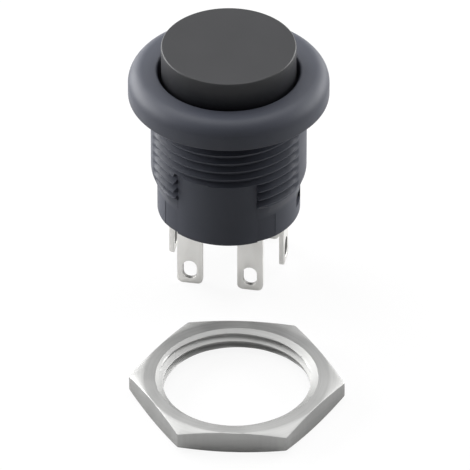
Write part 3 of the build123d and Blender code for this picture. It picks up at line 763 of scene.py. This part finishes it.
def model_end_lug(sizes):
    """The rear right lug, its top turned inwards and widened under a fixed contact."""
    top, thick, margin = LUG_HIGH[2], sizes.thick, sizes.contact_margin
    contact_x = (CONTACT_LOW[0] + CONTACT_HIGH[0]) / 2
    contact_y = (CONTACT_LOW[1] + CONTACT_HIGH[1]) / 2
    centre_x = (LUG_LOW[0] + LUG_HIGH[0]) / 2
    shank_x = contact_x - sizes.shank_inset
    lug = lug_blade(sizes, "solder_lug_rear_right", FLOOR_Z, top, shank_x - centre_x)
    reshape(lug, lambda places: places + (centre_x, LUG_HIGH[1] - thick / 2, 0))
    shank = (shank_x - sizes.shank / 2, shank_x + sizes.shank / 2)
    shelf = (top - thick, top)
    combine(lug, block("turned_in_top", shank, (LUG_LOW[1], LUG_HIGH[1]), shelf), "UNION")
    combine(lug, block("contact_seat", (shank[0], CONTACT_HIGH[0] + margin),
                       (CONTACT_LOW[1] - margin, CONTACT_HIGH[1] + margin), shelf), "UNION")
    circle = arc((contact_x, contact_y), sizes.rivet_hole / 2, 0, 345, 23)
    round_hole = [(x, y, top - 2 * thick) for x, y in circle]
    combine(lug, prism("rivet_hole", round_hole, (0, 0, 3 * thick)), "DIFFERENCE")
    shade(lug, 35)
    return lug


def model_side_lug(sizes):
    """The right-hand common lug, turned inwards at the top, with the knife edge on it."""
    thick = sizes.thick
    edge_top = SIDE_LUG_HIGH[2]
    shelf_top = edge_top - sizes.knife_height
    lug = lug_blade(sizes, "solder_lug_side_right", SIDE_LUG_LOW[2], shelf_top, 0.0)
    centre_x = SIDE_LUG_HIGH[0] - thick / 2

    def turn_sideways(places):
        x, y, z = places.T
        return np.column_stack((centre_x - y, x, z))

    reshape(lug, turn_sideways)
    half = sizes.shank / 2
    inner = SIDE_LUG_LOW[0]
    shelf = block("turned_in_top", (inner, SIDE_LUG_HIGH[0]), (-half, half),
                  (shelf_top - thick, shelf_top))
    combine(lug, shelf, "UNION")
    half_knife = sizes.knife_height * math.tan(sizes.knife_angle / 2)
    sunk = 0.1 * thick
    ridge = [(inner, -half_knife, shelf_top), (inner, -half_knife, shelf_top - sunk),
             (inner, half_knife, shelf_top - sunk), (inner, half_knife, shelf_top),
             (inner, 0, edge_top)]
    combine(lug, prism("knife_edge", ridge, (sizes.knife_length, 0, 0)), "UNION")
    shade(lug, 35)
    return lug


def finish_hole(lug, sizes):
    """Give the wall of the wire hole the lug's second material, rougher where the punch sheared it
    and darkened as painted shade.
    """
    places = np.array([vertex.co[:] for vertex in lug.data.vertices])
    low = places[:, 2].min()
    tip = places[places[:, 2] < low + sizes.hole_tip]
    centre, extent = (tip.min(axis=0) + tip.max(axis=0)) / 2, np.ptp(tip, axis=0)
    wide, thin = (0, 1) if extent[0] > extent[1] else (1, 0)
    hole_mid = low + sizes.hole_tip + sizes.hole_height / 2
    reach = sizes.hole_width / 2 + sizes.burr, sizes.hole_height / 2 + sizes.burr
    for face in lug.data.polygons:
        off = abs(face.center[wide] - centre[wide]), abs(face.center[2] - hole_mid)
        within = off[0] < reach[0] and off[1] < reach[1]
        if within and abs(face.normal[thin]) < 0.5:
            face.material_index = 1


def model_lugs(sizes):
    """The six lugs, each with the CAD node that it stands for."""
    end_lug, side_lug = model_end_lug(sizes), model_side_lug(sizes)
    return [
        (end_lug, "terminal_rear_right"),
        (mirrored(end_lug, "solder_lug_rear_left", -1, 1), "terminal_rear_left"),
        (mirrored(end_lug, "solder_lug_front_right", 1, -1), "terminal_front_right"),
        (mirrored(end_lug, "solder_lug_front_left", -1, -1), "terminal_front_left"),
        (side_lug, "terminal_side_right"),
        (mirrored(side_lug, "solder_lug_side_left", -1, 1), "terminal_side_left"),
    ]


# ---------------------------------------------------------------- operators

class SWITCH_OT_housing(bpy.types.Operator):
    """Model the bezel, threaded bushing and skirt"""
    bl_idname = "switch.housing"
    bl_label = "Housing"

    def execute(self, context):
        housing = model_housing(context.scene.switch_housing)
        base = context.scene.switch_colours.housing
        finish = moulded_plastic("black_nylon_moulded", base, 0.52, 0.05 * MM, 0.003 * MM, 0.35)
        settle(housing, "switch_body", finish, "housing_plastic", "housing")
        return {"FINISHED"}


class SWITCH_OT_button(bpy.types.Operator):
    """Model the button's cap"""
    bl_idname = "switch.button"
    bl_label = "Button"

    def execute(self, context):
        cap = model_cap(context.scene.switch_button)
        base = context.scene.switch_colours.cap
        finish = moulded_plastic("black_abs_moulded", base, 0.42, 0.05 * MM, 0.002 * MM, 0.4)
        settle(cap, "button", finish, "cap_plastic", "button_cap")
        return {"FINISHED"}


class SWITCH_OT_nut(bpy.types.Operator):
    """Model the hexagon panel nut"""
    bl_idname = "switch.nut"
    bl_label = "Nut"

    def execute(self, context):
        nut = model_nut(context.scene.switch_nut, context.scene.switch_housing.pitch)
        base = context.scene.switch_colours.nickel
        finish = turned_metal("nickel_plated_brass", base, 0.48, (NUT_LOW + NUT_HIGH) / 2)
        settle(nut, "switch_body", finish, "nickel_plated_brass", "hex_nut")
        return {"FINISHED"}


class SWITCH_OT_lugs(bpy.types.Operator):
    """Model the six solder lugs"""
    bl_idname = "switch.lugs"
    bl_label = "Solder lugs"

    def execute(self, context):
        base = context.scene.switch_colours.tin
        finish = plated_metal("tinned_brass_strip", base, 0.42, 0.06 * MM, 0.001 * MM)
        # The punch tears the metal in the wire hole, which leaves its wall rougher. Its colour is
        # darkened to about a third as painted shade inside the hole.
        hole_wall_shade = colour_scaled(base, 0.35)
        edge = plated_metal("tinned_hole_wall_shaded", hole_wall_shade, 0.60, 0.06 * MM, 0.004 * MM)
        sizes = context.scene.switch_lugs
        for lug, node in model_lugs(sizes):
            settle(lug, "switch_body", finish, "tinned_brass", node)
            lug.data.materials.append(edge)
            finish_hole(lug, sizes)
        return {"FINISHED"}


INNER_PARTS = {
    "base": ("terminal_base",),
    "acetal": ("plunger",),
    "bronze": ("rocker_left", "rocker_right"),
    "wire": ("return_spring", "latch_pin", "latch_leaf"),
}


class SWITCH_OT_insides(bpy.types.Operator):
    """Give the base block and the parts inside their finishes"""
    bl_idname = "switch.insides"
    bl_label = "Base and insides"

    def execute(self, context):
        colours = context.scene.switch_colours
        finishes = {
            "base": moulded_plastic("black_base_moulded", colours.base, 0.5, 0.06 * MM, 0.003 * MM),
            "acetal": moulded_plastic(
                "natural_acetal", colours.acetal, 0.35, 0.08 * MM, 0.001 * MM),
            "bronze": plated_metal("phosphor_bronze", colours.bronze, 0.3, 0.08 * MM, 0.001 * MM),
            "silver": plated_metal("silver_contact", colours.silver, 0.2, 0.08 * MM, 0.001 * MM),
            "wire": plated_metal("spring_steel", colours.wire, 0.25, 0.05 * MM, 0.001 * MM),
        }
        named = {node: kind for kind, nodes in INNER_PARTS.items() for node in nodes}
        for name, node in frame["nodes"].items():
            kind = named.get(name, "silver" if "contact" in name else None)
            if kind:
                node.data.materials.clear()
                node.data.materials.append(finishes[kind])
        return {"FINISHED"}


# ---------------------------------------------------------------- stage

BOUNCE_GREY = 0.2  # what the table returns of the light that falls on it, towards the object
AIM = (0, -0.012, -0.01)
SOFTBOXES = {  # where it stands, its width and height, all in metres, and its radiance
    "softbox_left": ((-0.50, 0.16, 0.12), 0.65, 0.45, 8.0),
    "softbox_right": ((0.42, 0.38, 0.10), 0.65, 0.40, 6.5),
    "softbox_overhead": ((-0.05, 0.20, 0.62), 0.80, 0.60, 2.2),
}
SENSOR = 36.0  # width of the camera's sensor, in its own millimetres
VIEW_RIGHT, VIEW_DOWN = 0.64 * MM, 14.5 * MM  # middle of the picture, from the frame's origin


def table_material(tint):
    """A table that is white to the camera, metal and glass, with the object's soft shadow on it.

    Metal sees more of its shadows than the camera does. To light that bounces off it, it is a
    mid grey, so that it doesn't flood the object's front."""
    material, tree, output = new_material("white_table")
    bounce = add(tree, "ShaderNodeBsdfDiffuse", Color=(BOUNCE_GREY, BOUNCE_GREY, BOUNCE_GREY, 1))
    straight = add(tree, "ShaderNodeLightPath").outputs["Is Camera Ray"]
    paint = tinted(tree, ramp(tree, straight, 0, 1, 0.85, 1.0), tint)
    lit = add(tree, "ShaderNodeBsdfDiffuse", [(paint, "Color")])
    glow = add(tree, "ShaderNodeEmission", Color=tint, Strength=1.0)
    glow_share = ramp(tree, straight, 0, 1, 0.1, 0.9)
    seen = add(tree, "ShaderNodeMixShader", [
        (glow_share, 0), (lit.outputs["BSDF"], 1), (glow.outputs["Emission"], 2)])
    shown = add(tree, "ShaderNodeMixShader", [
        (shown_ray(tree), 0), (bounce.outputs["BSDF"], 1), (seen.outputs["Shader"], 2)])
    tree.links.new(shown.outputs["Shader"], output.inputs["Surface"])
    return material


def shown_ray(tree):
    """1 for the rays that show the background: from the camera, off metal and through glass."""
    path = add(tree, "ShaderNodeLightPath").outputs
    direct = add(tree, "ShaderNodeMath", [
        (path["Is Camera Ray"], 0), (path["Is Glossy Ray"], 1)], operation="MAXIMUM")
    either = add(tree, "ShaderNodeMath", [
        (direct.outputs["Value"], 0), (path["Is Transmission Ray"], 1)], operation="MAXIMUM")
    return either.outputs["Value"]


def lamp(name, where, aim, width, height, radiance):
    """A softbox: a rectangular lamp of a given radiance, pointing from where to aim."""
    data = bpy.data.lights.new(name, "AREA")
    data.shape = "RECTANGLE"
    data.size = width
    data.size_y = height
    data.energy = radiance * math.pi * width * height
    made = bpy.data.objects.new(name, data)
    bpy.context.scene.collection.objects.link(made)
    made.location = where
    made.rotation_euler = (Vector(aim) - Vector(where)).to_track_quat("-Z", "Y").to_euler()


def world_light(seen, sent):
    """A white surround to the camera, metal and glass, which lights the object far more weakly."""
    world = bpy.data.worlds.new("surround")
    bpy.context.scene.world = world
    world.use_nodes = True
    tree = world.node_tree
    tree.nodes.clear()
    output = tree.nodes.new("ShaderNodeOutputWorld")
    strength = ramp(tree, shown_ray(tree), 0, 1, sent, seen)
    back = add(tree, "ShaderNodeBackground", [(strength, "Strength")], Color=(1, 1, 1, 1))
    tree.links.new(back.outputs["Background"], output.inputs["Surface"])


def camera(azimuth, elevation, distance, frame_width):
    """A long lens looking at the pair from the front right and above."""
    data = bpy.data.cameras.new("camera")
    data.sensor_width = SENSOR
    data.lens = SENSOR * distance / frame_width
    data.clip_start = 0.1
    data.clip_end = 10.0
    made = bpy.data.objects.new("camera", data)
    bpy.context.scene.collection.objects.link(made)
    a, e = math.radians(azimuth), math.radians(elevation)
    right = Vector((math.cos(a), math.sin(a), 0))
    back = Vector((math.sin(a) * math.cos(e), -math.cos(a) * math.cos(e), math.sin(e)))
    up = back.cross(right)
    target = right * VIEW_RIGHT - up * VIEW_DOWN
    turn = Matrix((right, up, back)).transposed().to_4x4()
    made.matrix_world = Matrix.Translation(target + back * distance) @ turn
    bpy.context.scene.camera = made


class SWITCH_OT_stage(bpy.types.Operator):
    """Set the table, the softboxes and the camera"""
    bl_idname = "switch.stage"
    bl_label = "Stage"

    def execute(self, context):
        start_clean()
        bpy.ops.mesh.primitive_plane_add(size=3.0, location=(0, 0, FLOOR_Z))
        table = context.object
        table.name = "table"
        table.data.materials.append(table_material(context.scene.switch_colours.table))
        for name, (where, width, height, radiance) in SOFTBOXES.items():
            lamp(name, where, AIM, width, height, radiance)
        world_light(seen=1.0, sent=0.06)
        camera(azimuth=11.0, elevation=36.0, distance=0.9, frame_width=0.048)
        context.scene.view_settings.view_transform = "Standard"
        return {"FINISHED"}


class SWITCH_PT_panel(bpy.types.Panel):
    """Buttons that model each piece, and the sizes they use"""
    bl_label = "Push button switch"
    bl_idname = "SWITCH_PT_panel"
    bl_space_type = "VIEW_3D"
    bl_region_type = "UI"
    bl_category = "Switch"

    def draw(self, context):
        for operator in OPERATORS:
            self.layout.operator(operator.bl_idname)
        for name in SETTINGS:
            group = getattr(context.scene, name)
            box = self.layout.box()
            for setting in group.bl_rna.properties.keys():
                if setting not in ("rna_type", "name"):
                    box.prop(group, setting)


SETTINGS = {
    "switch_housing": SwitchHousingSizes,
    "switch_button": SwitchButtonSizes,
    "switch_nut": SwitchNutSizes,
    "switch_lugs": SwitchLugSizes,
    "switch_colours": SwitchColours,
}
OPERATORS = (SWITCH_OT_housing, SWITCH_OT_button, SWITCH_OT_nut, SWITCH_OT_lugs, SWITCH_OT_insides,
             SWITCH_OT_stage)


def register():
    for made in (*SETTINGS.values(), *OPERATORS, SWITCH_PT_panel):
        bpy.utils.register_class(made)
    for name, group in SETTINGS.items():
        setattr(bpy.types.Scene, name, bpy.props.PointerProperty(type=group))


def unregister():
    for name in SETTINGS:
        delattr(bpy.types.Scene, name)
    for made in (SWITCH_PT_panel, *reversed(OPERATORS), *reversed(SETTINGS.values())):
        bpy.utils.unregister_class(made)


def main():
    register()
    bpy.ops.switch.housing()
    bpy.ops.switch.button()
    bpy.ops.switch.nut()
    bpy.ops.switch.lugs()
    bpy.ops.switch.insides()
    bpy.ops.switch.stage()


if __name__ == "__main__":
    main()
